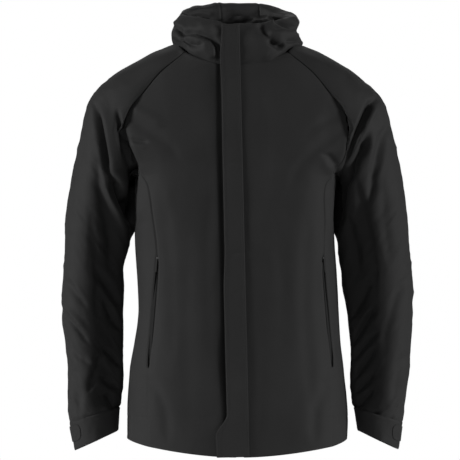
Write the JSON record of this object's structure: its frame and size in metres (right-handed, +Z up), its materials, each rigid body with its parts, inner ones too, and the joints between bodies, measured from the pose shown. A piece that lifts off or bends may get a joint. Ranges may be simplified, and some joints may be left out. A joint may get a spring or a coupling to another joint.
{
  "type": "hardshell jacket",
  "caption": "Black waterproof shell jacket with raglan sleeves, a storm flap over the front zip, zipped hand pockets, cuff tabs and a hood lowered round a stand collar.",
  "frame": {"origin": "middle of the neck at the height of the shoulder neck points, where a hanger or the wearer's shoulders carry the jacket", "axes": "+Z up, the front faces -Y, +X is the wearer's left"},
  "size_m": [0.628, 0.2496, 0.818],
  "materials": {
    "shell_fabric": "matte",
    "lining_fabric": "matte",
    "hook_and_loop": "matte",
    "zip_tape": "matte",
    "zip_coil": "satin",
    "zip_hardware": "satin",
    "webbing": "matte"
  },
  "bodies": {
    "root": {"back_panel": "shell_fabric", "front_panel_right": "shell_fabric", "front_panel_left": "shell_fabric", "side_panel_right": "shell_fabric", "side_panel_left": "shell_fabric", "raglan_front_right": "shell_fabric", "raglan_back_right": "shell_fabric", "raglan_front_left": "shell_fabric", "raglan_back_left": "shell_fabric", "collar_front_right": "shell_fabric", "collar_front_left": "shell_fabric", "collar_back": "lining_fabric", "hood_front_right": "shell_fabric", "hood_front_left": "shell_fabric", "flap_loop_patch_1": "hook_and_loop", "flap_loop_patch_2": "hook_and_loop", "flap_loop_patch_3": "hook_and_loop", "zip_tape_right": "zip_tape", "zip_tape_left": "zip_tape", "zip_coil_right": "zip_coil", "zip_coil_left": "zip_coil", "zip_box": "zip_hardware", "zip_pin": "zip_hardware", "wind_guard": "lining_fabric", "chin_guard": "lining_fabric", "hang_loop": "webbing", "pocket_welt_right": "shell_fabric", "pocket_welt_left": "shell_fabric", "pocket_zip_right": "zip_tape", "pocket_zip_left": "zip_tape", "pocket_bag_right": "lining_fabric", "pocket_bag_left": "lining_fabric"},
    "storm_flap": {"storm_flap": "shell_fabric", "flap_hook_patch_1": "hook_and_loop", "flap_hook_patch_2": "hook_and_loop", "flap_hook_patch_3": "hook_and_loop"},
    "zip_slider": {"zip_slider": "zip_hardware"},
    "zip_pull": {"zip_pull": "webbing"},
    "hood": {"hood_side_right": "shell_fabric", "hood_side_left": "shell_fabric", "hood_centre": "shell_fabric", "hood_brim": "shell_fabric"},
    "sleeve_right": {"sleeve_upper_front_right": "shell_fabric", "sleeve_upper_back_right": "shell_fabric"},
    "forearm_right": {"sleeve_lower_front_right": "shell_fabric", "sleeve_lower_back_right": "shell_fabric", "cuff_right": "shell_fabric", "cuff_loop_patch_right": "hook_and_loop"},
    "cuff_tab_right": {"cuff_tab_right": "shell_fabric"},
    "pocket_slider_right": {"pocket_slider_right": "zip_hardware"},
    "pocket_pull_right": {"pocket_pull_right": "webbing"},
    "sleeve_left": {"sleeve_upper_front_left": "shell_fabric", "sleeve_upper_back_left": "shell_fabric"},
    "forearm_left": {"sleeve_lower_front_left": "shell_fabric", "sleeve_lower_back_left": "shell_fabric", "cuff_left": "shell_fabric", "cuff_loop_patch_left": "hook_and_loop"},
    "cuff_tab_left": {"cuff_tab_left": "shell_fabric"},
    "pocket_slider_left": {"pocket_slider_left": "zip_hardware"},
    "pocket_pull_left": {"pocket_pull_left": "webbing"}
  },
  "joints": [
    {"name": "flap_open", "type": "hinge", "parent": "root", "child": "storm_flap", "pos_m": [0.01499, -0.11357, -0.3452], "axis": [-0.0232, 0.049, 0.9985], "range_deg": [0, 150]},
    {"name": "zip_slide", "type": "slide", "parent": "root", "child": "zip_slider", "axis": [0.0232, -0.049, -0.9985], "range_m": [0, 0.715]},
    {"name": "zip_pull_lift", "type": "hinge", "parent": "zip_slider", "child": "zip_pull", "pos_m": [-0.01176, -0.09271, 0.0307], "axis": [-0.9997, -0.0011, -0.0232], "range_deg": [0, 60]},
    {"name": "hood_lift", "type": "hinge", "parent": "root", "child": "hood", "pos_m": [0, 0.0012, 0.0555], "axis": [1, 0, 0], "range_deg": [0, 60]},
    {"name": "sleeve_raise_right", "type": "hinge", "parent": "root", "child": "sleeve_right", "pos_m": [-0.235, 0, -0.06], "axis": [0, 1, 0], "range_deg": [0, 75]},
    {"name": "elbow_bend_right", "type": "hinge", "parent": "sleeve_right", "child": "forearm_right", "pos_m": [-0.259, -0.0626, -0.4404], "axis": [-1, 0, 0], "range_deg": [0, 80]},
    {"name": "cuff_tab_peel_right", "type": "hinge", "parent": "forearm_right", "child": "cuff_tab_right", "pos_m": [-0.29356, 0.00155, -0.69498], "axis": [0.1156, -0.0685, -0.9909], "range_deg": [0, 110]},
    {"name": "pocket_slide_right", "type": "slide", "parent": "root", "child": "pocket_slider_right", "axis": [-0.0797, -0.0125, -0.9967], "range_m": [0, 0.168]},
    {"name": "pocket_pull_lift_right", "type": "hinge", "parent": "pocket_slider_right", "child": "pocket_pull_right", "pos_m": [-0.14252, -0.0817, -0.37897], "axis": [-0.783, 0.6196, 0.0548], "range_deg": [0, 100]},
    {"name": "sleeve_raise_left", "type": "hinge", "parent": "root", "child": "sleeve_left", "pos_m": [0.235, 0, -0.06], "axis": [0, -1, 0], "range_deg": [0, 75]},
    {"name": "elbow_bend_left", "type": "hinge", "parent": "sleeve_left", "child": "forearm_left", "pos_m": [0.259, -0.0626, -0.4404], "axis": [-1, 0, 0], "range_deg": [0, 80]},
    {"name": "cuff_tab_peel_left", "type": "hinge", "parent": "forearm_left", "child": "cuff_tab_left", "pos_m": [0.29356, 0.00155, -0.69498], "axis": [0.1156, 0.0685, 0.9909], "range_deg": [0, 110]},
    {"name": "pocket_slide_left", "type": "slide", "parent": "root", "child": "pocket_slider_left", "axis": [0.0797, 0.0005, -0.9968], "range_m": [0, 0.168]},
    {"name": "pocket_pull_lift_left", "type": "hinge", "parent": "pocket_slider_left", "child": "pocket_pull_left", "pos_m": [0.15655, -0.07046, -0.37897], "axis": [-0.6357, -0.7702, -0.0512], "range_deg": [0, 100]}
  ],
  "couplings": [
    {"joint": "zip_pull_lift", "follows": "flap_open", "ratio": 0.4}
  ]
}
